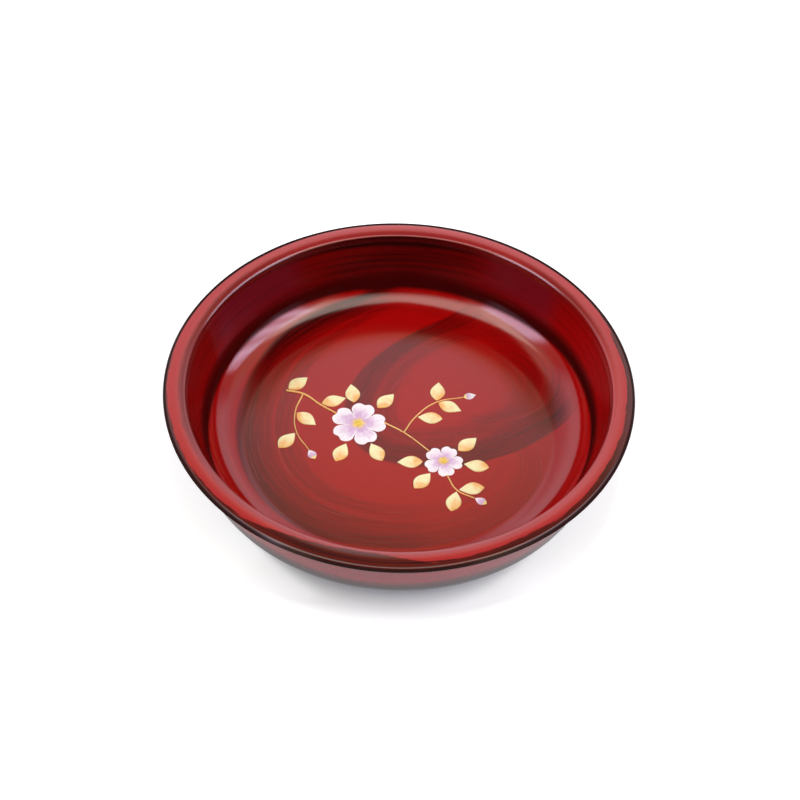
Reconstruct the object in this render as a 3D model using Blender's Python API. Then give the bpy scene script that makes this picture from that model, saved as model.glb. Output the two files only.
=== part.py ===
"""Lacquered confectionery bowl, 8-sun size.

A turned wooden core carries a rim hoop on a tongue, a foot ring in a groove, three coats of lacquer and,
on the floor of the well, a raised gold spray with two blossoms. Metres, +Z up, origin at the centre of the
foot's underside, so the bowl stands on the XY plane.
"""

import math

import bmesh
import bpy

# Rim hoop
RIM_RADIUS = 0.1200
RIM_WIDTH = 0.0114
RIM_DEPTH = 0.0040
RIM_CROWN = 0.00045
RIM_INNER_ROUND = 0.0011
RIM_OUTER_ROUND = 0.0026
RIM_BEVEL = 0.0013
RIM_BEVEL_DEPTH = 0.0021
RIM_EDGE = 0.0006
RIM_EDGE_ROUND = 0.0003

# Well, wall and base, finished sizes over the lacquer
WELL_DEPTH = 0.0397
WELL_FILLET = 0.0235
BODY_ROUND = 0.0191
WALL_LEAN = math.radians(16.7)
WALL = 0.0071
COAT = 0.0008

# Joints of the core with its hoop and its foot
TONGUE_WIDTH = 0.0022
TONGUE_HEIGHT = 0.0015
FOOT_SEAT = 0.0015
FIT = 0.0003

# Foot ring
FOOT_RADIUS = 0.0690
FOOT_WIDTH = 0.0058
FOOT_HEIGHT = 0.0082
FOOT_DRAFT = 0.0009
FOOT_ROUND = 0.0009

# Raised spray on the floor
SPRAY_EDGE = 0.0003
SPRAY_RISE = 0.0004
LEAF_LENGTH = 0.0130
LEAF_WIDTH = 0.0080
LEAF_FULLNESS = 0.85
LEAF_SPREAD = math.radians(55)
BUD_LENGTH = 0.0068
BUD_WIDTH = 0.0046
LARGE_BLOSSOM_RADIUS = 0.0150
SMALL_BLOSSOM_RADIUS = 0.0105
STAMEN_RADIUS = 0.0026
STAMEN_RISE = 0.0008
BRANCH_RADIUS = 0.00060
TWIG_RADIUS = 0.00042
STEM_TIP = 0.7

# Where the blossoms lie on the floor, and how their petals are turned
LARGE_BLOSSOM = (-0.021, 0.005)
SMALL_BLOSSOM = (0.024, -0.019)
LARGE_TURN = math.radians(6)
SMALL_TURN = math.radians(-6)

# Points that the stems pass or end at on the floor, apart from where they meet a blossom or fork
BRANCH_POINTS = [(-0.060, 0.027), (-0.051, 0.025), (-0.042, 0.018)]
MIDDLE_POINT = (0.003, 0.000)
TAIL_POINTS = [(0.031, -0.038), (0.040, -0.043)]
RISING_POINTS = [(0.009, 0.011), (0.020, 0.022), (0.034, 0.026)]
HANGING_POINTS = [(-0.0545, 0.012), (-0.053, -0.002), (-0.046, -0.014)]

# Leaves: headings in degrees of those under a blossom, and (point, side) of those on a stem
LARGE_BLOSSOM_LEAVES = (100, 50, -62, -112)
SMALL_BLOSSOM_LEAVES = (44, -8, 232, 184)
BRANCH_LEAVES = ((0, 1), (2, 1))
TAIL_LEAVES = ((1, 1), (1, -1))
RISING_LEAVES = ((1, -1), (2, 1), (2, -1))
HANGING_LEAVES = ((1, 1), (2, -1))

# Facets
TURN_STEPS = 64
ROUND_STEPS = 3
FILLET_STEPS = 6
CROWN_STEPS = 6
PETAL_STEPS = 8
LEAF_STEPS = 6
STAMEN_STEPS = 12
STEM_BEVEL_STEPS = 1
STEM_STEPS = 3
WELD = 1e-7
SHARP_ANGLE = math.radians(32)

# Levels worked out from the sizes above
BASE = FOOT_HEIGHT
FLOOR = BASE + WALL
CREST = FLOOR + WELL_DEPTH
SHOULDER = CREST - RIM_CROWN
HOOP_UNDER = SHOULDER - RIM_DEPTH
SEAT = HOOP_UNDER - FIT
CORE_SKIN = COAT + FIT
FOOT_INNER = FOOT_RADIUS - FOOT_WIDTH
SPRAY_LEVEL = FLOOR + FIT

PETALS = 5
PETAL_VALLEY = 0.46
PETAL_FULLNESS = 0.38
PETAL_NOTCH = 0.10
PETAL_NOTCH_WIDTH = 0.22
PETAL_MID = 0.55


def clear_scene():
    for item in list(bpy.data.objects):
        bpy.data.objects.remove(item, do_unlink=True)


def make_material(name, colour, roughness, metallic=0.0):
    material = bpy.data.materials.new(name)
    material.use_nodes = True
    shader = material.node_tree.nodes["Principled BSDF"]
    shader.inputs["Base Color"].default_value = (*colour, 1.0)
    shader.inputs["Roughness"].default_value = roughness
    shader.inputs["Metallic"].default_value = metallic
    return material


def add_object(name, data, material):
    data.materials.append(material)
    item = bpy.data.objects.new(name, data)
    bpy.context.scene.collection.objects.link(item)
    return item


def finish_mesh(name, bm, material):
    """Close off a bmesh as a smooth-shaded object with its faces pointing out."""
    bmesh.ops.remove_doubles(bm, verts=bm.verts, dist=WELD)
    bmesh.ops.recalc_face_normals(bm, faces=bm.faces)
    mesh = bpy.data.meshes.new(name)
    bm.to_mesh(mesh)
    bm.free()
    mesh.shade_smooth()
    mesh.set_sharp_from_angle(angle=SHARP_ANGLE)
    return add_object(name, mesh, material)


def lathe(name, section, material, steps=TURN_STEPS):
    """Turn a half section of (radius, height) points; a section that leaves the axis is a closed ring."""
    bm = bmesh.new()
    verts = [bm.verts.new((radius, 0.0, height)) for radius, height in section]
    edges = [bm.edges.new(pair) for pair in zip(verts, verts[1:])]
    if section[0][0] > 0.0:
        edges.append(bm.edges.new((verts[-1], verts[0])))
    bmesh.ops.spin(bm, geom=verts + edges, cent=(0, 0, 0), axis=(0, 0, 1), angle=math.tau, steps=steps,
                   use_merge=True)
    return finish_mesh(name, bm, material)


def arc(centre, radius, start, end, steps):
    """Points of an arc in the half section, both ends included."""
    turns = [start + (end - start) * step / steps for step in range(steps + 1)]
    return [(centre[0] + radius * math.cos(turn), centre[1] + radius * math.sin(turn)) for turn in turns]


def rounded(corners):
    """Closed section whose corners (radius, height, round) are replaced by tangent arcs."""
    section = []
    for index, (r, z, size) in enumerate(corners):
        if size == 0.0:
            section.append((r, z))
            continue
        before = corners[index - 1]
        after = corners[(index + 1) % len(corners)]
        back = math.atan2(before[1] - z, before[0] - r)
        ahead = math.atan2(after[1] - z, after[0] - r)
        opening = math.remainder(ahead - back, math.tau)
        middle = back + opening / 2
        reach = size / math.sin(abs(opening) / 2)
        centre = (r + reach * math.cos(middle), z + reach * math.sin(middle))
        sweep = math.copysign(math.pi - abs(opening), -opening)
        start = back - math.copysign(math.pi / 2, opening)
        section += arc(centre, size, start, start + sweep, ROUND_STEPS)
    return section


def well_radius(height, depth=0.0):
    """Radius of the straight part of the wall, a given depth under the inner surface."""
    inner_edge = RIM_RADIUS - RIM_WIDTH
    return inner_edge - (CREST - height) * math.tan(WALL_LEAN) + depth / math.cos(WALL_LEAN)


def well_fillet(depth=0.0):
    """Arc from floor to wall, a given depth under the inner surface."""
    height = FLOOR + WELL_FILLET
    centre = (well_radius(height, -WELL_FILLET), height)
    return arc(centre, WELL_FILLET + depth, -math.pi / 2, -WALL_LEAN, FILLET_STEPS)


def body_round(inset=0.0):
    """Arc from underside to outer wall, a given depth inside the outer surface."""
    height = BASE + BODY_ROUND
    centre = (well_radius(height, WALL - BODY_ROUND), height)
    return arc(centre, BODY_ROUND - inset, -math.pi / 2, -WALL_LEAN, FILLET_STEPS)


def tongue_edges(clearance=0.0):
    """Inner and outer radius of the core's tongue, or of the groove round it."""
    middle = well_radius(HOOP_UNDER, WALL / 2)
    half = TONGUE_WIDTH / 2 + clearance
    return middle - half, middle + half


def make_bowl_body(material):
    tongue_in, tongue_out = tongue_edges()
    tongue_top = SEAT + TONGUE_HEIGHT
    under = BASE + CORE_SKIN
    groove_out, groove_in = FOOT_RADIUS + FIT, FOOT_INNER - FIT
    section = [(0.0, FLOOR - CORE_SKIN)]
    section += well_fillet(CORE_SKIN)
    section += [(well_radius(SEAT, CORE_SKIN), SEAT), (tongue_in, SEAT), (tongue_in, tongue_top)]
    section += [(tongue_out, tongue_top), (tongue_out, SEAT), (well_radius(SEAT, WALL - CORE_SKIN), SEAT)]
    section += reversed(body_round(CORE_SKIN))
    section += [(groove_out, under), (groove_out, under + FOOT_SEAT)]
    section += [(groove_in, under + FOOT_SEAT), (groove_in, under), (0.0, under)]
    return lathe("bowl_body", section, material)


def make_rim_hoop(material):
    """Hoop with a crowned land and a bevelled, undercut lip, grooved underneath to sit over the tongue."""
    groove_in, groove_out = tongue_edges(FIT)
    groove_top = SEAT + TONGUE_HEIGHT + FIT
    inner_edge, outer_edge = well_radius(SHOULDER), RIM_RADIUS - RIM_BEVEL
    half = (outer_edge - inner_edge) / 2
    crown_radius = (half ** 2 + RIM_CROWN ** 2) / (2 * RIM_CROWN)
    crown_half_angle = math.asin(half / crown_radius)
    crown = arc((inner_edge + half, CREST - crown_radius), crown_radius,
                math.pi / 2 + crown_half_angle, math.pi / 2 - crown_half_angle, CROWN_STEPS)
    land = [(r, z, 0.0) for r, z in crown
            if inner_edge + RIM_INNER_ROUND < r < outer_edge - RIM_OUTER_ROUND]
    lip = SHOULDER - RIM_BEVEL_DEPTH
    corners = [(outer_edge, SHOULDER, RIM_OUTER_ROUND), (RIM_RADIUS, lip, 0.0)]
    corners += [(RIM_RADIUS, lip - RIM_EDGE, RIM_EDGE_ROUND)]
    corners += [(well_radius(HOOP_UNDER, WALL), HOOP_UNDER, 0.0)]
    corners += [(groove_out, HOOP_UNDER, 0.0), (groove_out, groove_top, 0.0)]
    corners += [(groove_in, groove_top, 0.0), (groove_in, HOOP_UNDER, 0.0)]
    corners += [(well_radius(HOOP_UNDER), HOOP_UNDER, 0.0), (inner_edge, SHOULDER, RIM_INNER_ROUND)]
    return lathe("rim_hoop", rounded(corners + land), material)


def make_foot_ring(material):
    top = BASE + CORE_SKIN + FOOT_SEAT - FIT
    corners = [(FOOT_RADIUS, top, 0.0), (FOOT_RADIUS, BASE, 0.0)]
    corners += [(FOOT_RADIUS - FOOT_DRAFT, 0.0, FOOT_ROUND), (FOOT_INNER + FOOT_DRAFT, 0.0, FOOT_ROUND)]
    corners += [(FOOT_INNER, BASE, 0.0), (FOOT_INNER, top, 0.0)]
    return lathe("foot_ring", rounded(corners), material)


def make_interior_lacquer(material):
    section = [(0.0, FLOOR)]
    section += well_fillet()
    section += [(well_radius(SEAT), SEAT), (well_radius(SEAT, COAT), SEAT)]
    section += reversed(well_fillet(COAT))
    section += [(0.0, FLOOR - COAT)]
    return lathe("interior_lacquer", section, material)


def make_exterior_lacquer(material):
    butt = FOOT_RADIUS + FIT
    section = [(well_radius(SEAT, WALL), SEAT)]
    section += reversed(body_round())
    section += [(butt, BASE), (butt, BASE + COAT)]
    section += body_round(COAT)
    section += [(well_radius(SEAT, WALL - COAT), SEAT)]
    return lathe("exterior_lacquer", section, material)


def make_base_lacquer(material):
    butt = FOOT_INNER - FIT
    section = [(0.0, BASE + COAT), (butt, BASE + COAT), (butt, BASE), (0.0, BASE)]
    return lathe("base_lacquer", section, material)


def polar(centre, distance, heading):
    return centre[0] + distance * math.cos(heading), centre[1] + distance * math.sin(heading)


def raise_plate(name, bm, rise, material):
    """Thicken a flat face mesh upwards; vertices marked in the layer `rise` stand higher."""
    faces = list(bm.faces)
    extruded = bmesh.ops.extrude_face_region(bm, geom=faces, use_keep_orig=True)
    for item in extruded["geom"]:
        if isinstance(item, bmesh.types.BMVert):
            item.co.z += SPRAY_EDGE + SPRAY_RISE * item[rise]
    return finish_mesh(name, bm, material)


def make_leaf(name, base, heading, length, width, material):
    """Pointed oval with a raised midrib, from its base point along its heading."""
    bm = bmesh.new()
    rise = bm.verts.layers.float.new("rise")
    along = (math.cos(heading), math.sin(heading))

    def add(distance, aside, height):
        x = base[0] + distance * along[0] - aside * along[1]
        y = base[1] + distance * along[1] + aside * along[0]
        vert = bm.verts.new((x, y, SPRAY_LEVEL))
        vert[rise] = height
        return vert

    rows = []
    for step in range(1, LEAF_STEPS):
        share = step / LEAF_STEPS
        half = width / 2 * math.sin(math.pi * share ** LEAF_FULLNESS)
        rows.append([add(length * share, side * half, 1.0 - abs(side)) for side in (1, 0, -1)])
    foot, tip = add(0.0, 0.0, 0.0), add(length, 0.0, 0.0)
    for side in (0, 1):
        bm.faces.new((foot, rows[0][side], rows[0][side + 1]))
        bm.faces.new((tip, rows[-1][side + 1], rows[-1][side]))
        for lower, upper in zip(rows, rows[1:]):
            bm.faces.new((lower[side], upper[side], upper[side + 1], lower[side + 1]))
    return raise_plate(name, bm, rise, material)


def petal_reach(radius, angle):
    """Outline of a blossom of notched petals, one of which lies along angle 0."""
    across = math.remainder(angle, math.tau / PETALS) / (math.pi / PETALS)
    lobe = PETAL_VALLEY + (1.0 - PETAL_VALLEY) * max(0.0, 1.0 - across ** 2) ** PETAL_FULLNESS
    notch = PETAL_NOTCH * math.exp(-(across / PETAL_NOTCH_WIDTH) ** 2)
    return radius * (lobe - notch)


def make_blossom(name, centre, radius, turn, material):
    """Five notched petals in one plate, each crowned across its middle."""
    bm = bmesh.new()
    rise = bm.verts.layers.float.new("rise")
    heart = bm.verts.new((*centre, SPRAY_LEVEL))
    count = PETALS * PETAL_STEPS
    rings = []
    for share, height in ((PETAL_MID, 1.0), (1.0, 0.0)):
        ring = []
        for step in range(count):
            angle = math.tau * step / count
            spot = polar(centre, share * petal_reach(radius, angle), angle + turn)
            vert = bm.verts.new((*spot, SPRAY_LEVEL))
            vert[rise] = height
            ring.append(vert)
        rings.append(ring)
    for step in range(count):
        after = (step + 1) % count
        bm.faces.new((heart, rings[0][step], rings[0][after]))
        bm.faces.new((rings[0][step], rings[1][step], rings[1][after], rings[0][after]))
    return raise_plate(name, bm, rise, material)


def make_stamen(name, centre, material):
    """Low button of pollen standing on the heart of a blossom."""
    turns = [math.pi / 2 * step / ROUND_STEPS for step in range(1, ROUND_STEPS + 1)]
    section = [(0.0, STAMEN_RISE)]
    section += [(STAMEN_RADIUS * math.sin(turn), STAMEN_RISE * math.cos(turn)) for turn in turns]
    section += [(0.0, 0.0)]
    button = lathe(name, section, material, STAMEN_STEPS)
    button.location = (*centre, SPRAY_LEVEL + SPRAY_EDGE + SPRAY_RISE + FIT)
    return button


def make_stem(name, route, radius, material):
    """Round stem lying on the floor, tapering along its route."""
    curve = bpy.data.curves.new(name, "CURVE")
    curve.dimensions = "3D"
    curve.bevel_depth = radius
    curve.bevel_resolution = STEM_BEVEL_STEPS
    curve.resolution_u = STEM_STEPS
    curve.use_fill_caps = True
    spline = curve.splines.new("BEZIER")
    spline.bezier_points.add(len(route) - 1)
    for index, (point, spot) in enumerate(zip(spline.bezier_points, route)):
        point.radius = 1.0 + (STEM_TIP - 1.0) * index / (len(route) - 1)
        point.co = (*spot, SPRAY_LEVEL + radius)
        point.handle_left_type = "AUTO"
        point.handle_right_type = "AUTO"
    return add_object(name, curve, material)


def petal_edge(centre, radius, turn, number):
    """Point just clear of the notch of a blossom's petal, counted anticlockwise from its turn."""
    angle = math.tau * number / PETALS
    return polar(centre, petal_reach(radius, angle) + FIT, angle + turn)


def stem_heading(route, index):
    before = route[max(index - 1, 0)]
    after = route[min(index + 1, len(route) - 1)]
    return math.atan2(after[1] - before[1], after[0] - before[0])


def leaf_on_stem(route, index, side, radius):
    """Base and heading of a leaf that leaves a stem at one of its points, on its left (1) or right (-1)."""
    heading = stem_heading(route, index) + side * LEAF_SPREAD
    return polar(route[index], (radius + 2 * FIT) / math.sin(LEAF_SPREAD), heading), heading


def leaf_on_blossom(centre, radius, angle):
    """Base and heading of a leaf that looks out from under a blossom."""
    return polar(centre, radius + FIT, angle), angle


def spray_routes():
    """Stems on the floor, from the thick end; those that meet a blossom stop at its outline."""
    large = (LARGE_BLOSSOM, LARGE_BLOSSOM_RADIUS, LARGE_TURN)
    small = (SMALL_BLOSSOM, SMALL_BLOSSOM_RADIUS, SMALL_TURN)
    branch = [*BRANCH_POINTS, petal_edge(*large, 2)]
    middle = [petal_edge(*large, 0), MIDDLE_POINT, petal_edge(*small, 2)]
    tail = [petal_edge(*small, 4), *TAIL_POINTS]
    fork = polar(middle[1], 2 * TWIG_RADIUS + FIT, stem_heading(middle, 1) + math.pi / 2)
    rising = [fork, *RISING_POINTS]
    fork = polar(branch[1], BRANCH_RADIUS + TWIG_RADIUS + FIT, stem_heading(branch, 1) - math.pi / 2)
    hanging = [fork, *HANGING_POINTS]
    return {"branch": branch, "middle": middle, "tail": tail, "rising": rising, "hanging": hanging}


def make_spray(gold, petal, pollen):
    routes = spray_routes()
    large = (LARGE_BLOSSOM, LARGE_BLOSSOM_RADIUS, LARGE_TURN)
    small = (SMALL_BLOSSOM, SMALL_BLOSSOM_RADIUS, SMALL_TURN)
    make_stem("gold_branch", routes["branch"], BRANCH_RADIUS, gold)
    for part in ("middle", "tail", "rising", "hanging"):
        make_stem(f"gold_twig_{part}", routes[part], TWIG_RADIUS, gold)
    make_blossom("blossom_large", *large, petal)
    make_blossom("blossom_small", *small, petal)
    make_stamen("stamen_large", LARGE_BLOSSOM, pollen)
    make_stamen("stamen_small", SMALL_BLOSSOM, pollen)
    for part in ("tail", "rising", "hanging"):
        heading = stem_heading(routes[part], len(routes[part]) - 1)
        make_leaf(f"bud_{part}", polar(routes[part][-1], FIT, heading), heading, BUD_LENGTH, BUD_WIDTH, petal)
    seats = [leaf_on_blossom(*large[:2], math.radians(angle)) for angle in LARGE_BLOSSOM_LEAVES]
    seats += [leaf_on_blossom(*small[:2], math.radians(angle)) for angle in SMALL_BLOSSOM_LEAVES]
    seats += [leaf_on_stem(routes["branch"], *seat, BRANCH_RADIUS) for seat in BRANCH_LEAVES]
    seats += [leaf_on_stem(routes["tail"], *seat, TWIG_RADIUS) for seat in TAIL_LEAVES]
    seats += [leaf_on_stem(routes["rising"], *seat, TWIG_RADIUS) for seat in RISING_LEAVES]
    seats += [leaf_on_stem(routes["hanging"], *seat, TWIG_RADIUS) for seat in HANGING_LEAVES]
    for number, (base, heading) in enumerate(seats, 1):
        make_leaf(f"gold_leaf_{number:02d}", base, heading, LEAF_LENGTH, LEAF_WIDTH, gold)


def main():
    clear_scene()
    wood = make_material("turned_wood", (0.43, 0.24, 0.10), 0.60)
    red = make_material("red_lacquer", (0.36, 0.022, 0.018), 0.14)
    brown = make_material("brown_lacquer", (0.085, 0.018, 0.014), 0.16)
    black = make_material("black_lacquer", (0.012, 0.007, 0.007), 0.20)
    gold = make_material("gold_powder", (0.80, 0.56, 0.20), 0.42, 0.35)
    petal = make_material("petal_lacquer", (0.78, 0.58, 0.74), 0.38)
    pollen = make_material("pollen_lacquer", (0.86, 0.62, 0.10), 0.45)
    make_bowl_body(wood)
    make_rim_hoop(red)
    make_foot_ring(brown)
    make_interior_lacquer(red)
    make_exterior_lacquer(brown)
    make_base_lacquer(black)
    make_spray(gold, petal, pollen)


main()
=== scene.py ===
"""Looks of a lacquered confectionery bowl.

Fine turned lacquer surfaces stand for the coats, the hoop and the foot of the frame, with brushed red over
brown. A raised gold spray with two blossoms lies on the floor of the well. Metres, +Z up.
"""

import math

import bmesh
import bpy
from mathutils import Matrix, Vector


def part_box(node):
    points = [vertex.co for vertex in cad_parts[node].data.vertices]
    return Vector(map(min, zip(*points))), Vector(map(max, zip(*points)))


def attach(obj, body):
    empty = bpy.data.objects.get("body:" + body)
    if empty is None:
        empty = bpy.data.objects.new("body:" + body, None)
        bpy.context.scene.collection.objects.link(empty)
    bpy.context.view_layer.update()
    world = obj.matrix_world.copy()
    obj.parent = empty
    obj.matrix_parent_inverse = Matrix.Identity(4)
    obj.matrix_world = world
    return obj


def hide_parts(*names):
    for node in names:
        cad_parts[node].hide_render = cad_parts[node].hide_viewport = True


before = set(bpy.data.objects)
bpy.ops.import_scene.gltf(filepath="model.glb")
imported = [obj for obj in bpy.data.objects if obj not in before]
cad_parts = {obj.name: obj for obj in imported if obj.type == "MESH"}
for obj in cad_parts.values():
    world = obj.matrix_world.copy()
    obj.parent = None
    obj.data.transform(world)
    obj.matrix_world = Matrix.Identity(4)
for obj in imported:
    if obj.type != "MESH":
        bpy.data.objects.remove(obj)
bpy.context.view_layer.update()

# Sizes read from the frame
RIM_LOW, RIM_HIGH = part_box("rim_hoop")
RIM_RADIUS = RIM_HIGH.x
CREST = RIM_HIGH.z
HOOP_UNDER = RIM_LOW.z
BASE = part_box("base_lacquer")[0].z
FOOT_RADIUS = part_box("foot_ring")[1].x
FOOT_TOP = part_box("foot_ring")[1].z

# Sizes of the turned section that the frame's boxes don't give
RIM_WIDTH = 0.0111
RIM_CROWN = 0.00045
RIM_INNER_ROUND = 0.0024
RIM_OUTER_ROUND = 0.0022
RIM_BEVEL = 0.0013
RIM_BEVEL_DEPTH = 0.0021
RIM_EDGE = 0.0004
RIM_EDGE_ROUND = 0.0002
WELL_FILLET = 0.0235
BODY_ROUND = 0.0191
WALL_LEAN = math.radians(16.7)
WALL = 0.0071
COAT = 0.0008
TONGUE_WIDTH = 0.0022
TONGUE_HEIGHT = 0.0015
FIT = 0.0003
FOOT_WIDTH = 0.0058
FOOT_DRAFT = 0.0009
FOOT_ROUND = 0.0009
SHOULDER = CREST - RIM_CROWN
FLOOR = BASE + WALL
FOOT_INNER = FOOT_RADIUS - FOOT_WIDTH

# Spray on the floor: lengths in metres, and shares of a leaf, a petal or a blossom's heart
SPRAY_EDGE = 0.00035
SPRAY_RISE = 0.00045
SPRAY_SINK = 0.00005
LEAF_FULLNESS = 0.85
LEAF_SWELL = 0.7
LEAF_CROWN = 0.7
LEAF_STEPS = (28, 12)
MIDRIB_RISE = 0.25
MIDRIB_WIDTH = 0.10
VEIN_RISE = 0.10
VEIN_COUNT = 7
VEIN_SLANT = 1.6
LARGE_BLOSSOM_RADIUS = 0.0150
SMALL_BLOSSOM_RADIUS = 0.0105
LARGE_TURN = math.radians(6)
SMALL_TURN = math.radians(-6)
BRANCH_RADIUS = 0.00060
TWIG_RADIUS = 0.00042
STEM_TIP = 0.7
STEM_RISE = 0.4
STEM_STEPS = 16
STEM_BEVEL_STEPS = 3
PETALS = 5
PETAL_VALLEY = 0.46
PETAL_FULLNESS = 0.38
PETAL_NOTCH = 0.10
PETAL_NOTCH_WIDTH = 0.22
PETAL_SWELL = 0.8
PETAL_CROWN = 0.9
PETAL_DROOP = 0.5
PETAL_STEPS = (18, 28)
FURROW_DEPTH = 0.6
FURROW_WIDTH = 0.10
FURROW_SPREAD = 3
RIPPLE_RISE = 0.08
RIPPLE_COUNT = 5
BUTTON_SIZE = 0.42
BUTTON_SQUASH = 0.7
THREADS = 11
THREAD_TURN = 0.2
THREAD_REACHES = (0.98, 0.78)
THREAD_SHARES = (0.4, 0.5, 0.6, 0.7, 0.8, 0.9)
THREAD_SIZE = 0.055
THREAD_RISE = 0.0001
ANTHER_SIZE = 0.13
ANTHER_SQUASH = 0.8
ANTHER_RISE = 0.00015
BEAD_STEPS = (16, 10)
LEAF_COUNT = 17
BRANCH_POINTS = [(-0.060, 0.027), (-0.051, 0.025), (-0.042, 0.018)]
MIDDLE_POINT = (0.003, 0.0)
TAIL_POINTS = [(0.031, -0.038), (0.040, -0.043)]
RISING_POINTS = [(0.009, 0.011), (0.020, 0.022), (0.034, 0.026)]
HANGING_POINTS = [(-0.0545, 0.012), (-0.053, -0.002), (-0.046, -0.014)]

# Facets
TURN_STEPS = 288
ROUND_STEPS = 8
FILLET_STEPS = 28
CROWN_STEPS = 16
WELD = 1e-7
SHARP_ANGLE = math.radians(40)

# Camera, from the photograph's angle
CAMERA_DISTANCE = 1.0
CAMERA_ELEVATION = math.radians(47.26)
CAMERA_ROLL = math.radians(1.82)
CAMERA_AIM = 0.0547
CAMERA_LENS = 88.44
CAMERA_SENSOR = 36.0
CAMERA_SHIFT = (0.0006, -0.0234)

MILLIMETRES = 1000.0


# Turned forms

def arc(centre, radius, start, end, steps):
    """Points of an arc in the half section, both ends included."""
    turns = [start + (end - start) * step / steps for step in range(steps + 1)]
    return [(centre[0] + radius * math.cos(turn), centre[1] + radius * math.sin(turn)) for turn in turns]


def rounded(corners):
    """Closed section whose corners (radius, height, round) are replaced by tangent arcs."""
    section = []
    for index, (r, z, size) in enumerate(corners):
        if size == 0.0:
            section.append((r, z))
            continue
        before = corners[index - 1]
        after = corners[(index + 1) % len(corners)]
        back = math.atan2(before[1] - z, before[0] - r)
        ahead = math.atan2(after[1] - z, after[0] - r)
        opening = math.remainder(ahead - back, math.tau)
        middle = back + opening / 2
        reach = size / math.sin(abs(opening) / 2)
        centre = (r + reach * math.cos(middle), z + reach * math.sin(middle))
        sweep = math.copysign(math.pi - abs(opening), -opening)
        start = back - math.copysign(math.pi / 2, opening)
        section += arc(centre, size, start, start + sweep, ROUND_STEPS)
    return section


def well_radius(height, depth=0.0):
    """Radius of the straight part of the wall, a given depth under the inner surface."""
    inner_edge = RIM_RADIUS - RIM_WIDTH
    return inner_edge - (CREST - height) * math.tan(WALL_LEAN) + depth / math.cos(WALL_LEAN)


def well_fillet(depth=0.0):
    """Arc from floor to wall, a given depth under the inner surface."""
    height = FLOOR + WELL_FILLET
    centre = (well_radius(height, -WELL_FILLET), height)
    return arc(centre, WELL_FILLET + depth, -math.pi / 2, -WALL_LEAN, FILLET_STEPS)


def body_round(inset=0.0):
    """Arc from underside to outer wall, a given depth inside the outer surface."""
    height = BASE + BODY_ROUND
    centre = (well_radius(height, WALL - BODY_ROUND), height)
    return arc(centre, BODY_ROUND - inset, -math.pi / 2, -WALL_LEAN, FILLET_STEPS)


def new_object(name, data):
    """Object in the scene that shows a mesh, a curve or a camera."""
    item = bpy.data.objects.new(name, data)
    bpy.context.scene.collection.objects.link(item)
    return item


def finish_mesh(name, bm, material):
    """Turn a bmesh into a smooth-shaded object with its faces pointing out."""
    bmesh.ops.remove_doubles(bm, verts=bm.verts, dist=WELD)
    bmesh.ops.recalc_face_normals(bm, faces=bm.faces)
    mesh = bpy.data.meshes.new(name)
    bm.to_mesh(mesh)
    bm.free()
    mesh.shade_smooth()
    mesh.set_sharp_from_angle(angle=SHARP_ANGLE)
    mesh.materials.append(material)
    return new_object(name, mesh)


def lathe(name, section, material):
    """Turn a half section of (radius, height) points; a section that leaves the axis is a closed ring."""
    bm = bmesh.new()
    verts = [bm.verts.new((radius, 0.0, height)) for radius, height in section]
    edges = [bm.edges.new(pair) for pair in zip(verts, verts[1:])]
    if section[0][0] > 0.0:
        edges.append(bm.edges.new((verts[-1], verts[0])))
    bmesh.ops.spin(bm, geom=verts + edges, cent=(0, 0, 0), axis=(0, 0, 1), angle=math.tau, steps=TURN_STEPS,
                   use_merge=True)
    return finish_mesh(name, bm, material)


def stand_for(piece, node):
    """Let a piece ride on the bowl in place of one node of the frame."""
    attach(piece, "root")
    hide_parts(node)
    return piece


def make_rim_hoop(material):
    """Hoop with a crowned land and a bevelled, undercut lip, grooved underneath over the tongue."""
    middle = well_radius(HOOP_UNDER, WALL / 2)
    groove_in = middle - TONGUE_WIDTH / 2 - FIT
    groove_out = middle + TONGUE_WIDTH / 2 + FIT
    groove_top = HOOP_UNDER + TONGUE_HEIGHT
    inner_edge, outer_edge = well_radius(SHOULDER), RIM_RADIUS - RIM_BEVEL
    half = (outer_edge - inner_edge) / 2
    crown_radius = (half ** 2 + RIM_CROWN ** 2) / (2 * RIM_CROWN)
    crown_half_angle = math.asin(half / crown_radius)
    crown = arc((inner_edge + half, CREST - crown_radius), crown_radius,
                math.pi / 2 + crown_half_angle, math.pi / 2 - crown_half_angle, CROWN_STEPS)
    land = [(r, z, 0.0) for r, z in crown
            if inner_edge + RIM_INNER_ROUND < r < outer_edge - RIM_OUTER_ROUND]
    lip = SHOULDER - RIM_BEVEL_DEPTH
    corners = [(outer_edge, SHOULDER, RIM_OUTER_ROUND), (RIM_RADIUS, lip, RIM_EDGE_ROUND)]
    corners += [(RIM_RADIUS, lip - RIM_EDGE, RIM_EDGE_ROUND)]
    corners += [(well_radius(HOOP_UNDER, WALL), HOOP_UNDER, 0.0)]
    corners += [(groove_out, HOOP_UNDER, 0.0), (groove_out, groove_top, 0.0)]
    corners += [(groove_in, groove_top, 0.0), (groove_in, HOOP_UNDER, 0.0)]
    corners += [(well_radius(HOOP_UNDER), HOOP_UNDER, 0.0), (inner_edge, SHOULDER, RIM_INNER_ROUND)]
    return lathe("rim_hoop_lacquered", rounded(corners + land), material)


def make_interior(material):
    """Coat over the floor, the fillet and the wall of the well."""
    section = [(0.0, FLOOR)]
    section += well_fillet()
    section += [(well_radius(HOOP_UNDER), HOOP_UNDER), (well_radius(HOOP_UNDER, COAT), HOOP_UNDER)]
    section += reversed(well_fillet(COAT))
    section += [(0.0, FLOOR - COAT)]
    return lathe("interior_brushed", section, material)


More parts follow.
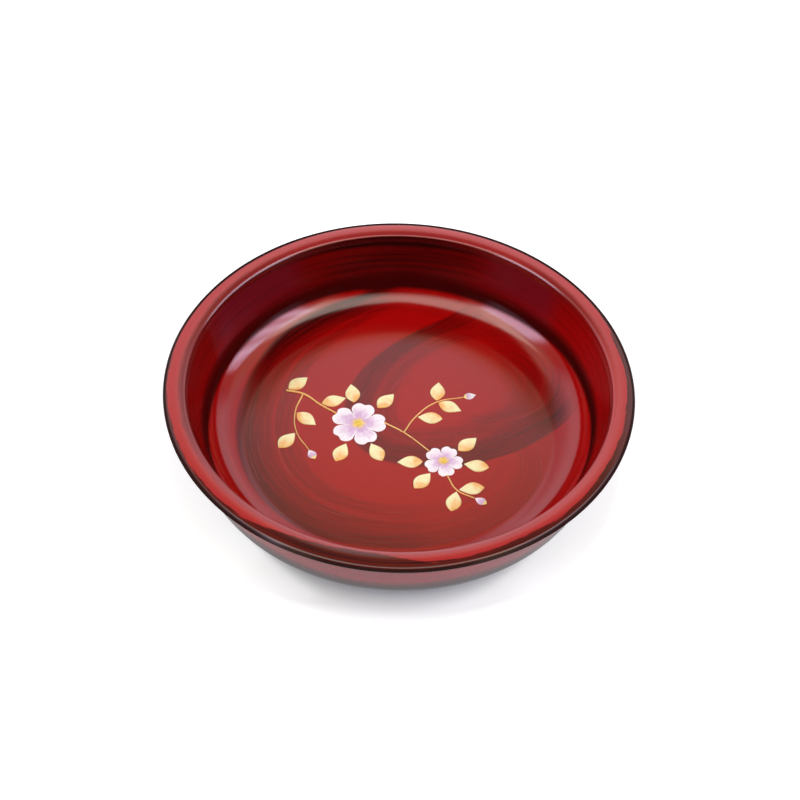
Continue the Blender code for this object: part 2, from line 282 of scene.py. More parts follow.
def make_exterior(material):
    """Coat over the outer wall and the underside, as far as the foot."""
    section = [(well_radius(HOOP_UNDER, WALL), HOOP_UNDER)]
    section += reversed(body_round())
    section += [(FOOT_RADIUS, BASE), (FOOT_RADIUS, BASE + COAT)]
    section += body_round(COAT)
    section += [(well_radius(HOOP_UNDER, WALL - COAT), HOOP_UNDER)]
    return lathe("exterior_brushed", section, material)


def make_foot_ring(material):
    """Tapered ring that stands on the table and is let into the base."""
    corners = [(FOOT_RADIUS, FOOT_TOP, 0.0), (FOOT_RADIUS, BASE, 0.0)]
    corners += [(FOOT_RADIUS - FOOT_DRAFT, 0.0, FOOT_ROUND), (FOOT_INNER + FOOT_DRAFT, 0.0, FOOT_ROUND)]
    corners += [(FOOT_INNER, BASE, 0.0), (FOOT_INNER, FOOT_TOP, 0.0)]
    return lathe("foot_ring_lacquered", rounded(corners), material)


def make_base(material):
    """Coat over the base, inside the foot."""
    section = [(0.0, BASE + COAT), (FOOT_INNER, BASE + COAT), (FOOT_INNER, BASE), (0.0, BASE)]
    return lathe("base_lacquered", section, material)


# Shader graphs

class Graph:
    """Short calls that add nodes to a shader tree; a value is a number, a colour or a socket."""

    def __init__(self, owner):
        owner.use_nodes = True
        self.tree = owner.node_tree

    def node(self, kind, **settings):
        made = self.tree.nodes.new(kind)
        for key, value in settings.items():
            setattr(made, key, value)
        return made

    def put(self, socket, value):
        if isinstance(value, bpy.types.NodeSocket):
            self.tree.links.new(value, socket)
        else:
            socket.default_value = value

    def feed(self, made, values):
        """Put values into the first sockets of a node, and give back its first output."""
        for socket, value in zip(made.inputs, values):
            self.put(socket, value)
        return made.outputs[0]

    def math(self, operation, *values):
        return self.feed(self.node("ShaderNodeMath", operation=operation), values)

    def plus(self, first, second):
        return self.math("ADD", first, second)

    def minus(self, first, second):
        return self.math("SUBTRACT", first, second)

    def times(self, first, second):
        return self.math("MULTIPLY", first, second)

    def vector(self, operation, *values):
        return self.feed(self.node("ShaderNodeVectorMath", operation=operation), values)

    def ease(self, value, start, end, low=0.0, high=1.0):
        """Smooth step from low at start to high at end."""
        made = self.node("ShaderNodeMapRange", interpolation_type="SMOOTHSTEP")
        return self.feed(made, (value, start, end, low, high))

    def mix(self, share, first, second):
        """Colour that goes from first to second as share goes from 0 to 1."""
        made = self.node("ShaderNodeMix", data_type="RGBA")
        self.put(made.inputs["Factor"], share)
        self.put(made.inputs[6], first)
        self.put(made.inputs[7], second)
        return made.outputs[2]

    def place(self):
        """The x, y and z of a point on the piece, in millimetres."""
        where = self.node("ShaderNodeTexCoord").outputs["Object"]
        scaled = self.node("ShaderNodeVectorMath", operation="SCALE")
        self.put(scaled.inputs[0], where)
        scaled.inputs["Scale"].default_value = MILLIMETRES
        parts = self.node("ShaderNodeSeparateXYZ")
        self.put(parts.inputs[0], scaled.outputs[0])
        return parts.outputs[:]

    def polar(self, x, y):
        """Share of a turn, anticlockwise from +X, and distance from the axis."""
        turn = self.math("FRACT", self.math("DIVIDE", self.math("ARCTAN2", y, x), math.tau))
        squares = self.plus(self.times(x, x), self.times(y, y))
        return turn, self.math("SQRT", squares)

    def fade(self, share, first, second):
        """Number that goes from first to second as share goes from 0 to 1."""
        made = self.node("ShaderNodeMix", data_type="FLOAT")
        for index, value in zip((0, 2, 3), (share, first, second)):
            self.put(made.inputs[index], value)
        return made.outputs[0]

    def curve(self, value, stops):
        """Number that follows (share, level) stops, the first at share 0 and the last at share 1."""
        made = self.node("ShaderNodeFloatCurve")
        points = made.mapping.curves[0].points
        points[0].location.y = stops[0][1]
        points[-1].location.y = stops[-1][1]
        for share, level in stops[1:-1]:
            points.new(share, level)
        for point in points:
            point.handle_type = "AUTO_CLAMPED"
        made.mapping.extend = "HORIZONTAL"
        made.mapping.update()
        self.put(made.inputs["Value"], value)
        return made.outputs[0]

    def around(self, turn, stops, high=1.0):
        """Number from 0 to high that follows (azimuth in degrees, number) stops, the first at azimuth 0."""
        closed = stops + [(360, stops[0][1])]
        levels = [(azimuth / 360, number / high) for azimuth, number in closed]
        return self.times(self.curve(turn, levels), high)

    def noise(self, vector, scale, detail=2.0, rough=0.5):
        made = self.node("ShaderNodeTexNoise", noise_dimensions="3D")
        self.put(made.inputs["Vector"], vector)
        made.inputs["Scale"].default_value = scale
        made.inputs["Detail"].default_value = detail
        made.inputs["Roughness"].default_value = rough
        return made.outputs["Fac"]

    def combine(self, x, y, z):
        return self.feed(self.node("ShaderNodeCombineXYZ"), (x, y, z))

    def grain(self, scale, detail=2.0, rough=0.5):
        """Noise in all directions, with its scale per millimetre."""
        return self.noise(self.combine(*self.place()), scale, detail, rough)

    def streaks(self, turn, across, reach, width, detail=2.0, rough=0.5):
        """Brush streaks drawn out round the axis: more of them round a turn as reach grows, one per width."""
        angle = self.times(turn, math.tau)
        x = self.times(self.math("COSINE", angle), reach)
        y = self.times(self.math("SINE", angle), reach)
        return self.noise(self.combine(x, y, self.math("DIVIDE", across, width)), 1.0, detail, rough)

    def bump(self, height, strength, distance, normal=None):
        made = self.node("ShaderNodeBump")
        made.inputs["Strength"].default_value = strength
        made.inputs["Distance"].default_value = distance
        self.put(made.inputs["Height"], height)
        if normal is not None:
            self.put(made.inputs["Normal"], normal)
        return made.outputs[0]

    def dished(self, x, y, radius, slope):
        """Surface normal that leans towards the axis by a slope."""
        normal = self.node("ShaderNodeNewGeometry").outputs["Normal"]
        lean = self.math("DIVIDE", slope, self.math("MAXIMUM", radius, 1.0))
        aside = self.combine(self.times(x, lean), self.times(y, lean), 0.0)
        return self.vector("NORMALIZE", self.vector("SUBTRACT", normal, aside))

    def attribute(self, name):
        return self.node("ShaderNodeAttribute", attribute_name=name).outputs["Fac"]


class Finish(Graph):
    """The graph of a new material, which ends in its principled shader."""

    def __init__(self, name):
        self.material = bpy.data.materials.new(name)
        super().__init__(self.material)
        self.shader = self.tree.nodes["Principled BSDF"]

    def set(self, **values):
        """Set sockets of the shader, with underscores for the spaces of their names."""
        for key, value in values.items():
            self.put(self.shader.inputs[key.replace("_", " ")], value)
        return self.material


# Lacquers; streaks are given as reach, width in millimetres, detail and roughness, bumps as strength and
# distance
RED = (0.345, 0.002, 0.002, 1.0)
DEEP_RED = (0.30, 0.005, 0.013, 1.0)
BROWN = (0.12, 0.004, 0.011, 1.0)
DARK_BROWN = (0.10, 0.012, 0.008, 1.0)
NEAR_BLACK = (0.022, 0.008, 0.007, 1.0)
DARK_RED = (0.012, 0.001, 0.001, 1.0)
# Purple of the painted sheen on the wall
SHEEN_PURPLE = (0.10, 0.006, 0.013, 1.0)
PALE_RED = (0.43, 0.03, 0.03, 1.0)
RIM_RED = (0.375, 0.027, 0.026, 1.0)
BLACK = (0.012, 0.007, 0.007, 1.0)
GLOSSY_IOR = 1.6
WALL_IOR = 1.12
FRONT_IOR = 1.45
EDGE_IOR = 1.05
OUTER_IOR = 1.45
DARK_IOR = 1.5
FLOOR_ROUGH = 0.12
WALL_ROUGH = 0.10
RIM_ROUGH = 0.15
OUTER_ROUGH = (0.10, 0.20)

# Brushwork on the floor, in millimetres and degrees: a stroke is darkest inside its edge, which lies at a
# distance from its centre by azimuth, and fades inwards over its width
STROKE_RANGE = 100.0
STRENGTH_RANGE = 2.0
STROKE_SOFT = 1.3
STROKE_WANDER = 4.0
STROKE_DEPTH = 0.55
STROKE_HAIRS = 0.8
LINE_DEPTH = 0.16
PALE_LINES = 0.35
STROKE_ENDS = (98.0, 84.0)
WANDER_STREAKS = (1.2, 5.0)
HAIR_STREAKS = (1.4, 1.8, 3.0, 0.6)
HAIR_BUMP = (0.10, 0.0002)
HAIRS_MEET = 0.2
BROAD_STREAKS = (1.1, 8.0)
BROAD_DEPTH = 0.12
LINE_LEVELS = (0.30, 0.70)
PALE_LEVELS = (0.58, 0.72)
PALE_ENDS = (86.0, 78.0)
COMMA = dict(
    centre=(25.0, 20.0),
    edge=[(0, 72), (12, 84), (35, 90), (60, 84), (80, 70), (100, 59.8), (120, 53.3), (145, 51.2),
          (170, 52.3), (200, 55.1), (220, 53.6), (245, 47), (270, 43.2), (300, 43.4), (320, 47.7),
          (340, 55.8), (350, 62.9)],
    width=[(0, 50), (25, 62), (50, 52), (75, 28), (100, 24), (150, 27), (210, 34), (300, 34), (335, 44)],
    strength=[(0, 1.3), (20, 1.05), (45, 0.75), (65, 0.6), (85, 0.95), (110, 1.05), (340, 1.15)],
    profile=[(0, 1), (0.3, 0.95), (0.42, 0.75), (0.52, 0.5), (0.62, 0.58), (0.75, 0.48), (0.9, 0.1), (1, 0)])
CRESCENT = dict(
    centre=(0.0, 0.0),
    edge=[(0, 70), (60, 90), (97, 98.5), (105, 96.5), (120, 94.6), (135, 92.3), (150, 88.6), (165, 86),
          (180, 84.8), (200, 84.2), (220, 83), (240, 80.8), (260, 78), (280, 77), (300, 78), (330, 80)],
    width=[(0, 20), (90, 10), (100, 14), (110, 19), (130, 26), (150, 29), (170, 31), (200, 34), (240, 33),
           (270, 30), (330, 28)],
    strength=[(0, 0), (85, 0), (97, 0.85), (110, 1.15), (135, 1.2), (155, 1.15), (180, 1.15), (250, 1.05),
              (275, 0.85), (290, 0.5), (310, 0.4), (335, 0.35)],
    profile=[(0, 1), (0.25, 0.95), (0.36, 0.68), (0.5, 0.66), (0.58, 0.5), (0.62, 0.22), (0.67, 0.52),
             (0.8, 0.46), (0.88, 0.4), (1, 0)])
# Painted shade in the fillet, where the floor turns up into the wall, deepest at the back and left, by
# azimuth
FILLET_PAINTED_SHADE = [(0, 0.04), (20, 0.11), (60, 0.15), (90, 0.15), (120, 0.18), (150, 0.2), (200, 0.2),
                   (230, 0.1), (330, 0.02)]
FILLET_SHADE_EDGES = (80.0, 92.0)
# The floor's edge nearest the camera, which mirrors less
FRONT_EDGES = (-56.0, -72.0)
FRONT_RADII = (77.0, 81.0)
# Paint on the wall, whose lower edge and darkness change round the bowl, with painted shade under the rim and
# a painted purple sheen
WALL_EDGE = [(0, 11.6), (30, 11.2), (45, 10), (60, 9.3), (90, 9.2), (97, 8.2), (105, 9.2), (130, 9.4),
             (150, 8.8), (170, 8.6), (190, 9.4), (215, 11), (300, 11.5)]
WALL_DARKNESS = [(0, 0.3), (15, 0.29), (30, 0.37), (45, 0.51), (60, 0.58), (75, 0.78), (90, 0.85),
                 (105, 0.82), (120, 0.74), (150, 0.68), (180, 0.6), (195, 0.7), (225, 0.62), (270, 0.52),
                 (315, 0.5), (345, 0.48)]
WALL_EDGE_RANGE = 20.0
WALL_FOOT = 0.93
WALL_FOOT_EDGES = (3.0, 11.0)
WALL_SOFT = 1.2
WALL_STREAKS = (1.3, 2.2, 3.0, 0.6)
WALL_STREAK_DEPTH = 0.55
# Painted shade near the top of the wall, under the rim
WALL_TOP_SHADE_DEPTH = 0.14
WALL_TOP_SHADE_EDGES = (31.0, 37.0)
# Painted sheen: purple reflection of the windows painted on the wall, by azimuth and height
WALL_PAINTED_SHEEN = [(0, 0), (35, 0), (45, 0.5), (58, 0.5), (70, 0), (115, 0), (128, 0.5), (148, 0.55), (162, 0)]
SHEEN_EDGES = (14.0, 24.0)
# Slope of the floor's slight dish at the back, by radius, as shares of its reach and of the steepest slope
DISH = [(0, 0), (0.60, 0), (0.67, 0.2), (0.71, 0.45), (0.75, 0.85), (0.78, 1), (0.82, 0.9), (0.88, 0.4),
        (0.95, 0), (1, 0)]
DISH_REACH = 100.0
DISH_BACK = (-15.0, 25.0)
DISH_SLOPE = 0.075


def stroke(g, x, y, centre, edge, width, strength, profile):
    """Darkness of one brush stroke, and the hair lines that run along it."""
    turn, distance = g.polar(g.minus(x, centre[0]), g.minus(y, centre[1]))
    inside = g.minus(g.around(turn, edge, STROKE_RANGE), distance)
    wander = g.minus(g.streaks(turn, inside, *WANDER_STREAKS), 0.5)
    depth = g.math("MULTIPLY_ADD", wander, STROKE_WANDER, inside)
    body = g.curve(g.math("DIVIDE", depth, g.around(turn, width, STROKE_RANGE)), profile)
    crisp = g.ease(inside, -STROKE_SOFT, STROKE_SOFT)
    hairs = g.streaks(turn, inside, *HAIR_STREAKS)
    body = g.times(body, g.math("MULTIPLY_ADD", hairs, STROKE_HAIRS, 1.0 - STROKE_HAIRS / 2))
    return g.times(g.times(crisp, body), g.around(turn, strength, STRENGTH_RANGE)), hairs


def wall_paint(g, turn, height):
    """Share of the wall's own paint, which starts over the fillet, and its darkness, with painted shade near
    the top under the rim.
    """
    over = g.minus(height, g.around(turn, WALL_EDGE, WALL_EDGE_RANGE))
    streak = g.minus(g.streaks(turn, height, *WALL_STREAKS), 0.5)
    middle = g.math("MULTIPLY_ADD", streak, WALL_STREAK_DEPTH, g.around(turn, WALL_DARKNESS))
    # Painted shade: darker near the top of the wall, under the rim
    middle = g.math("MULTIPLY_ADD", g.ease(height, *WALL_TOP_SHADE_EDGES), WALL_TOP_SHADE_DEPTH, middle)
    dark = g.fade(g.ease(over, *WALL_FOOT_EDGES), WALL_FOOT, middle)
    return g.ease(over, -WALL_SOFT, WALL_SOFT), dark


def lacquer_red():
    """Red over brown: a dark comma and a dark crescent brushed on the floor, and a darker wall, with painted
    shade in the fillet and under the rim and a painted purple sheen on the wall.
    """
    g = Finish("red_brushed_lacquer")
    x, y, z = g.place()
    turn, radius = g.polar(x, y)
    height = g.minus(z, FLOOR * MILLIMETRES)
    comma, inner_hairs = stroke(g, x, y, **COMMA)
    crescent, outer_hairs = stroke(g, x, y, **CRESCENT)
    comma = g.times(comma, g.ease(radius, *STROKE_ENDS))
    strokes = g.math("MAXIMUM", comma, crescent)
    meeting = g.ease(g.minus(crescent, comma), -HAIRS_MEET, HAIRS_MEET)
    hairs = g.fade(meeting, inner_hairs, outer_hairs)
    across = g.plus(radius, height)
    broad = g.minus(g.streaks(turn, across, *BROAD_STREAKS), 0.5)
    lines = g.minus(g.ease(hairs, *LINE_LEVELS), 0.5)
    # Painted shade that darkens the fillet
    fillet = g.times(g.ease(radius, *FILLET_SHADE_EDGES), g.around(turn, FILLET_PAINTED_SHADE))
    dark = g.math("MULTIPLY_ADD", strokes, STROKE_DEPTH, fillet)
    dark = g.plus(dark, g.times(broad, BROAD_DEPTH))
    dark = g.plus(dark, g.times(lines, LINE_DEPTH))
    on_wall, wall_dark = wall_paint(g, turn, height)
    colour = g.mix(g.fade(on_wall, dark, wall_dark), RED, DARK_RED)
    pale = g.times(g.ease(hairs, *PALE_LEVELS), PALE_LINES)
    colour = g.mix(g.times(pale, g.ease(radius, *PALE_ENDS)), colour, PALE_RED)
    # Painted sheen: purple reflection on the wall where the windows mirror in it
    sheen = g.times(g.times(on_wall, g.around(turn, WALL_PAINTED_SHEEN)), g.ease(height, *SHEEN_EDGES))
    colour = g.mix(sheen, colour, SHEEN_PURPLE)
    rough = g.fade(on_wall, FLOOR_ROUGH, WALL_ROUGH)
    front = g.times(g.ease(y, *FRONT_EDGES), g.ease(radius, *FRONT_RADII))
    glossy = g.fade(front, GLOSSY_IOR, FRONT_IOR)
    slope = g.times(g.curve(g.math("DIVIDE", radius, DISH_REACH), DISH), DISH_SLOPE)
    slope = g.times(slope, g.ease(y, *DISH_BACK))
    normal = g.bump(hairs, *HAIR_BUMP, g.dished(x, y, radius, slope))
    return g.set(Base_Color=colour, Roughness=rough, Normal=normal, IOR=g.fade(on_wall, glossy, WALL_IOR))


# Red on the rim, in millimetres and degrees: where it stops outside, how brown its inner strip is, and where
# the dark outline of the lip starts
RED_STOPS = [(0, 115.4), (15, 115.7), (30, 116.8), (45, 117.2), (75, 117.5), (105, 117.6), (150, 117.8),
             (180, 117.7), (210, 117.5), (225, 117.0), (233, 116.6), (237, 115.0), (242, 113.6),
             (250, 112.1), (262, 111.0), (266, 111.3), (272, 113.2), (280, 116.2), (300, 115.6),
             (315, 116.1), (335, 115.5)]
STRIP_STRENGTH = [(0, 0), (15, 0.15), (30, 0.4), (45, 0.45), (60, 0.25), (75, 0.3), (90, 0.35), (105, 0.3),
                  (120, 0.32), (135, 0.5), (150, 0.56), (195, 0.55), (210, 0.42), (225, 0.3), (245, 0.2),
                  (300, 0.15), (325, 0)]
STRIP_EDGES = (113.8, 110.8)
RIM_RANGE = 125.0
OUTLINE_STARTS = [(0, 118.1), (30, 116.9), (60, 116.3), (120, 116.3), (150, 116.9), (180, 118.1),
                  (210, 118.5), (330, 118.5)]
OUTLINE_WIDTH = 1.0
OUTLINE_RAGGED = 0.6
OUTLINE_STRENGTH = [(0, 1), (215, 1), (235, 0.85), (254, 0.1), (288, 0.1), (305, 0.85), (330, 1)]
RIM_FINE_STREAKS = (2.5, 0.8, 3.0)
RIM_TORN_STREAKS = (9.0, 1.5, 4.0, 0.65)
FINE_RAGGED = 1.2
TORN_RAGGED = 3.2
RIM_STREAK_DEPTH = 0.3
LOST_EDGES = (-0.3, 0.5)
LOST_STEP = -1.5
BARED_LEVELS = (0.2, 0.65)
LIP_DEPTHS = (0.9, 1.4)
LIP_RADII = (114.0, 115.0)
INNER_DEPTHS = (0.9, 1.5)
INNER_RADII = (111.0, 110.0)
RIM_BUMP = (0.06, 0.0002)


def lacquer_rim():
    """Red lacquer on the land, torn off to brown at its outer edge, with a dark outline along the lip."""
    g = Finish("rim_lacquer")
    x, y, z = g.place()
    turn, radius = g.polar(x, y)
    across = g.minus(radius, z)
    fine = g.streaks(turn, across, *RIM_FINE_STREAKS)
    torn = g.streaks(turn, across, *RIM_TORN_STREAKS)
    ragged = g.plus(g.times(g.minus(torn, 0.5), TORN_RAGGED), g.times(g.minus(fine, 0.5), FINE_RAGGED))
    stop = g.plus(g.around(turn, RED_STOPS, RIM_RANGE), ragged)
    lost = g.ease(g.minus(radius, stop), *LOST_EDGES)
    below = g.minus(CREST * MILLIMETRES, z)
    outside = g.times(g.ease(below, *LIP_DEPTHS), g.ease(radius, *LIP_RADII))
    outline = g.math("MULTIPLY_ADD", fine, OUTLINE_RAGGED, radius)
    outline = g.minus(outline, g.around(turn, OUTLINE_STARTS, RIM_RANGE))
    outline = g.times(g.ease(outline, 0.0, OUTLINE_WIDTH), g.around(turn, OUTLINE_STRENGTH))
    strip = g.ease(g.plus(radius, ragged), *STRIP_EDGES)
    strip = g.times(strip, g.around(turn, STRIP_STRENGTH))
    dark = g.plus(strip, g.times(g.minus(fine, 0.5), RIM_STREAK_DEPTH))
    colour = g.mix(dark, RIM_RED, DARK_RED)
    bared = g.mix(g.ease(fine, *BARED_LEVELS), NEAR_BLACK, DARK_BROWN)
    colour = g.mix(lost, colour, bared)
    colour = g.mix(g.math("MAXIMUM", outline, outside), colour, NEAR_BLACK)
    # The inner round takes the wall's colour, with the painted shade under the rim
    wall_dark = wall_paint(g, turn, g.minus(z, FLOOR * MILLIMETRES))[1]
    inner = g.times(g.ease(below, *INNER_DEPTHS), g.ease(radius, *INNER_RADII))
    colour = g.mix(inner, colour, g.mix(wall_dark, RED, DARK_RED))
    normal = g.bump(g.plus(fine, g.times(lost, LOST_STEP)), *RIM_BUMP)
    glossy = g.fade(outline, GLOSSY_IOR, EDGE_IOR)
    return g.set(Base_Color=colour, Roughness=RIM_ROUGH, Normal=normal, IOR=glossy)


# Outside and underside
OUTER_BROAD_STREAKS = (1.2, 25.0, 1.0)
OUTER_FINE_STREAKS = (2.0, 13.0, 1.0)
OUTER_BROAD_SHARE = 0.6
OUTER_FINE_SHARE = 0.5
OUTER_LEVELS = (0.3, 0.85)
# Heights in millimetres over which painted shade darkens the outside towards the foot
OUTER_SHADE_HEIGHTS = (33.0, 22.0)
DARK_STREAKS = (2.0, 0.8, 3.0)
DARK_CLOUD = (0.25, 4.0)
DARK_LEVELS = (0.7, 1.3)
DARK_ROUGH = 0.10
CLOUD_ROUGH = 0.12
RUBBED_ROUGH = 0.35
FOOT_WORN = 1.2


def lacquer_exterior():
    """Brown lacquer outside, with red showing through in long streaks, and painted shade that darkens it
    towards the foot.
    """
    g = Finish("exterior_lacquer_brushed")
    x, y, z = g.place()
    turn, radius = g.polar(x, y)
    across = g.plus(radius, z)
    broad = g.streaks(turn, across, *OUTER_BROAD_STREAKS)
    fine = g.streaks(turn, across, *OUTER_FINE_STREAKS)
    dark = g.plus(g.times(broad, OUTER_BROAD_SHARE), g.times(fine, OUTER_FINE_SHARE))
    colour = g.mix(g.ease(dark, *OUTER_LEVELS), DEEP_RED, BROWN)
    # Painted shade: darker towards the foot, where little light reaches
    colour = g.mix(g.ease(z, *OUTER_SHADE_HEIGHTS), colour, DARK_RED)
    rough = g.fade(fine, *OUTER_ROUGH)
    return g.set(Base_Color=colour, Roughness=rough, IOR=OUTER_IOR)


def lacquer_dark(name, tint, worn_below):
    """Near-black lacquer under the bowl, rubbed duller where it stands."""
    g = Finish(name)
    x, y, z = g.place()
    turn, radius = g.polar(x, y)
    fine = g.streaks(turn, g.plus(radius, z), *DARK_STREAKS)
    cloud = g.grain(*DARK_CLOUD)
    colour = g.mix(g.ease(g.plus(fine, cloud), *DARK_LEVELS), tint, DARK_BROWN)
    rubbed = g.ease(z, worn_below, 0.0)
    rough = g.math("MULTIPLY_ADD", cloud, CLOUD_ROUGH, DARK_ROUGH)
    rough = g.plus(g.times(rubbed, RUBBED_ROUGH), rough)
    return g.set(Base_Color=colour, Roughness=rough, Normal=g.bump(fine, *RIM_BUMP), IOR=DARK_IOR)


# Timber, gold, petals and pollen: colours, and grains as scale per millimetre, detail and roughness
WOOD, WOOD_RING = (0.50, 0.30, 0.14, 1.0), (0.30, 0.15, 0.06, 1.0)
LEAF_WARM, LEAF_CREAM = (0.93, 0.50, 0.16, 1.0), (0.96, 0.88, 0.52, 1.0)
LEAF_OUTLINE, LEAF_SPECK = (0.55, 0.28, 0.05, 1.0), (0.72, 0.48, 0.12, 1.0)
STEM_LIGHT, STEM_DARK = (0.95, 0.62, 0.24, 1.0), (0.78, 0.42, 0.10, 1.0)
PETAL_LILAC, PETAL_WHITE = (0.62, 0.36, 0.60, 1.0), (0.93, 0.86, 0.90, 1.0)
PETAL_HEART, PETAL_OUTLINE = (0.90, 0.70, 0.22, 1.0), (0.45, 0.24, 0.36, 1.0)
POLLEN_LIGHT, POLLEN_DARK = (0.95, 0.74, 0.12, 1.0), (0.80, 0.48, 0.06, 1.0)
WOOD_BEND, WOOD_BEND_DEPTH = (0.02, 3.0), 40.0
WOOD_RINGS, WOOD_RING_DEPTH = 1.4, 0.3
WOOD_PORES, WOOD_PORE_STRETCH = (2.5, 3.0), 0.15
WOOD_LEVELS, WOOD_ROUGH, WOOD_BUMP = (0.2, 0.9), 0.6, (0.2, 0.0003)
LEAF_POWDER, POWDER_BUMP = (9.0, 3.0, 0.7), (0.15, 0.0001)
LEAF_CLOUD, LEAF_CLOUD_DEPTH = (0.25, 2.0), 1.4
LEAF_SIDE, LEAF_TONES = 0.25, (-0.1, 0.75)
LEAF_EDGES, LEAF_EDGE_DEPTH = (0.86, 1.0), 0.45
SPECK_LEVELS, SPECK_DEPTH = (0.55, 0.75), 0.25
LEAF_METAL, LEAF_ROUGH = 0.15, 0.42
STEM_POWDER, STEM_LEVELS = (6.0, 3.0, 0.7), (0.35, 0.7)
STEM_METAL, STEM_ROUGH = 0.3, 0.40
PETAL_CLOUD, PETAL_CLOUD_DEPTH = (0.35, 3.0), 0.7
PETAL_VEINS, PETAL_VEIN_DEPTH = (7.0, 0.8), 0.6
PETAL_TONES, PETAL_HEART_EDGES = (0.15, 0.95), (0.34, 0.12)
PETAL_EDGES, PETAL_EDGE_DEPTH = (0.93, 1.0), 0.4
PETAL_ROUGH, PETAL_BUMP = 0.35, (0.12, 0.0002)
POLLEN_GRAIN, POLLEN_LEVELS = (4.0, 2.0), (0.35, 0.65)
POLLEN_METAL, POLLEN_ROUGH, POLLEN_BUMP = 0.1, 0.45, (0.3, 0.0001)


def turned_wood():
    """Pale timber of the hidden core, with growth rings cut through by the lathe."""
    g = Finish("turned_wood_grain")
    x, y, z = g.place()
    bend = g.grain(*WOOD_BEND)
    rings = g.math("SINE", g.plus(g.times(y, WOOD_RINGS), g.times(bend, WOOD_BEND_DEPTH)))
    pores = g.noise(g.combine(g.times(x, WOOD_PORE_STRETCH), y, z), *WOOD_PORES)
    grain = g.plus(g.times(rings, WOOD_RING_DEPTH), pores)
    colour = g.mix(g.ease(grain, *WOOD_LEVELS), WOOD, WOOD_RING)
    return g.set(Base_Color=colour, Roughness=WOOD_ROUGH, Normal=g.bump(pores, *WOOD_BUMP))


def gold_leaf_material():
    """Cream gold powder, warmer towards the base and along one side."""
    g = Finish("gold_powder_leaf")
    along, across = g.attribute("along"), g.attribute("across")
    powder, cloud = g.grain(*LEAF_POWDER), g.grain(*LEAF_CLOUD)
    tone = g.plus(along, g.times(across, LEAF_SIDE))
    tone = g.plus(tone, g.times(g.minus(cloud, 0.5), LEAF_CLOUD_DEPTH))
    colour = g.mix(g.ease(tone, *LEAF_TONES), LEAF_WARM, LEAF_CREAM)
    edge = g.ease(g.math("ABSOLUTE", across), *LEAF_EDGES)
    colour = g.mix(g.times(edge, LEAF_EDGE_DEPTH), colour, LEAF_OUTLINE)
    colour = g.mix(g.times(g.ease(powder, *SPECK_LEVELS), SPECK_DEPTH), colour, LEAF_SPECK)
    normal = g.bump(powder, *POWDER_BUMP)
    return g.set(Base_Color=colour, Metallic=LEAF_METAL, Roughness=LEAF_ROUGH, Normal=normal)


def gold_line_material():
    """Orange gold powder of the stems."""
    g = Finish("gold_powder_line")
    powder = g.grain(*STEM_POWDER)
    colour = g.mix(g.ease(powder, *STEM_LEVELS), STEM_LIGHT, STEM_DARK)
    normal = g.bump(powder, *POWDER_BUMP)
    return g.set(Base_Color=colour, Metallic=STEM_METAL, Roughness=STEM_ROUGH, Normal=normal)


def petal_material():
    """Pearly petals: lilac towards the heart and in streaks, near white at the edge."""
    g = Finish("pearl_petal")
    along, across = g.attribute("along"), g.attribute("across")
    cloud = g.grain(*PETAL_CLOUD)
    drawn_out = g.combine(g.times(across, PETAL_VEINS[0]), g.times(along, PETAL_VEINS[1]), g.place()[2])
    vein = g.noise(drawn_out, 1.0)
    tone = g.plus(along, g.times(g.minus(vein, 0.5), PETAL_VEIN_DEPTH))
    tone = g.plus(tone, g.times(g.minus(cloud, 0.5), PETAL_CLOUD_DEPTH))
    colour = g.mix(g.ease(tone, *PETAL_TONES), PETAL_LILAC, PETAL_WHITE)
    colour = g.mix(g.ease(along, *PETAL_HEART_EDGES), colour, PETAL_HEART)
    edge = g.ease(g.math("ABSOLUTE", across), *PETAL_EDGES)
    colour = g.mix(g.times(edge, PETAL_EDGE_DEPTH), colour, PETAL_OUTLINE)
    return g.set(Base_Color=colour, Roughness=PETAL_ROUGH, Normal=g.bump(vein, *PETAL_BUMP))


def pollen_material():
    """Grainy yellow of the stamens."""
    g = Finish("pollen_gold")
    grain = g.grain(*POLLEN_GRAIN)
    colour = g.mix(g.ease(grain, *POLLEN_LEVELS), POLLEN_LIGHT, POLLEN_DARK)
    normal = g.bump(grain, *POLLEN_BUMP)
    return g.set(Base_Color=colour, Metallic=POLLEN_METAL, Roughness=POLLEN_ROUGH, Normal=normal)


# Raised spray

def polar(centre, distance, heading):
    """Point at a distance from a centre, in the direction of a heading."""
    return centre[0] + distance * math.cos(heading), centre[1] + distance * math.sin(heading)


def relief(name, grid, wrap, material):
    """Closed plate on the floor from rows of (x, y, height, along, across), which may close on themselves."""
    bm = bmesh.new()
    layers = {key: bm.verts.layers.float.new(key) for key in ("rise", "along", "across")}
    rows = []
    for row in grid:
        made = []
        for px, py, height, along, across in row:
            vert = bm.verts.new((px, py, FLOOR - SPRAY_SINK))
            vert[layers["rise"]], vert[layers["along"]], vert[layers["across"]] = height, along, across
            made.append(vert)
        rows.append(made)
    for low, high in zip(rows, rows[1:]):
        count = len(low)
        for step in range(count if wrap else count - 1):
            after = (step + 1) % count
            bm.faces.new((low[step], low[after], high[after], high[step]))
    bmesh.ops.remove_doubles(bm, verts=bm.verts, dist=WELD)
    extruded = bmesh.ops.extrude_face_region(bm, geom=list(bm.faces), use_keep_orig=True)
    for item in extruded["geom"]:
        if isinstance(item, bmesh.types.BMVert):
            item.co.z += SPRAY_SINK + item[layers["rise"]]
    return finish_mesh(name, bm, material)


def leaf_axis(node):
    """Base and tip of a leaf of the frame: its two farthest corners, the base nearer to its middle."""
    spots = [Vector((v.co.x, v.co.y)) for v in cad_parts[node].data.vertices]
    middle = sum(spots, Vector((0.0, 0.0))) / len(spots)
    first = max(spots, key=lambda spot: (spot - middle).length)
    second = max(spots, key=lambda spot: (spot - first).length)
    return second, first


